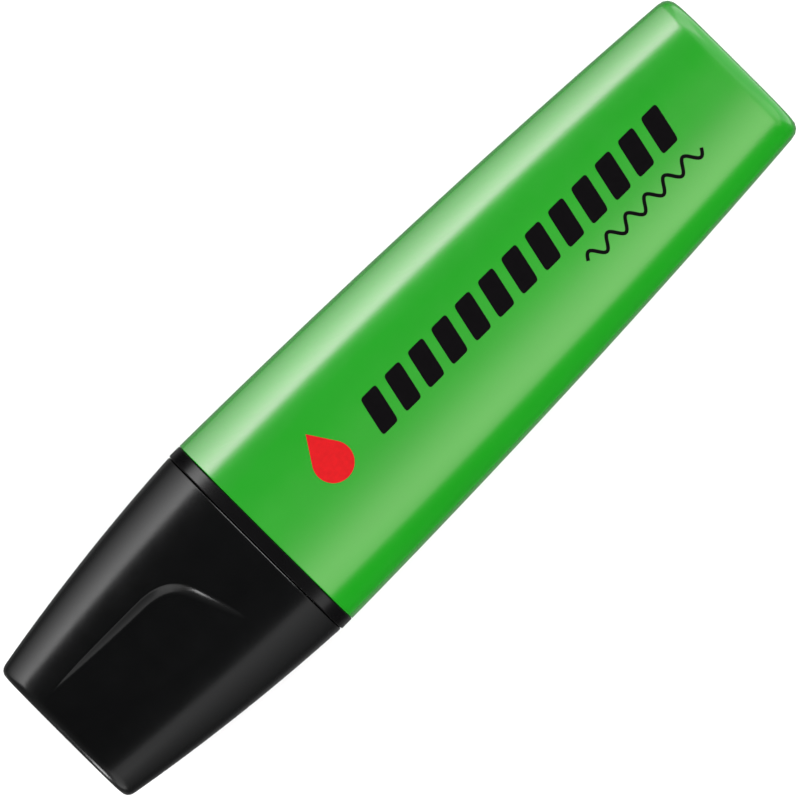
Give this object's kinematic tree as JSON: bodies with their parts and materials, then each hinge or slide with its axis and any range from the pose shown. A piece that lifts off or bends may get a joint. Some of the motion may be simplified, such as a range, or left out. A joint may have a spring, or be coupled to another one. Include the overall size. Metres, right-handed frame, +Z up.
{
  "type": "capped highlighter",
  "caption": "Flat chisel-tip highlighter with a tapered green barrel and a black pull-off cap that has a thumb recess in each broad face.",
  "frame": {"origin": "bottom centre: the point under the middle of the pen, on the surface that the barrel's lower face lies on", "axes": "+X along the pen toward the cap, +Y across the broad faces, +Z up out of the upper broad face; the pen's own axis rises 1.6 degrees toward the cap, because the barrel lies on its tapered face"},
  "size_m": [0.1052, 0.027, 0.017],
  "materials": {
    "barrel_plastic": "gloss",
    "black_plastic": "satin",
    "cap_plastic": "satin",
    "seal_plastic": "satin",
    "nib_felt": "matte",
    "core_fibre": "matte",
    "wrap_film": "gloss"
  },
  "bodies": {
    "pen": {"barrel": "barrel_plastic", "front_section": "black_plastic", "nib": "nib_felt", "reservoir_core": "core_fibre", "reservoir_wrap": "wrap_film"},
    "cap": {"cap_shell": "cap_plastic", "cap_inner_seal": "seal_plastic"}
  },
  "joints": [
    {"name": "cap_slide", "type": "slide", "parent": "pen", "child": "cap", "axis": [0.9996, 0, 0.0279], "range_m": [0, 0.04]}
  ]
}
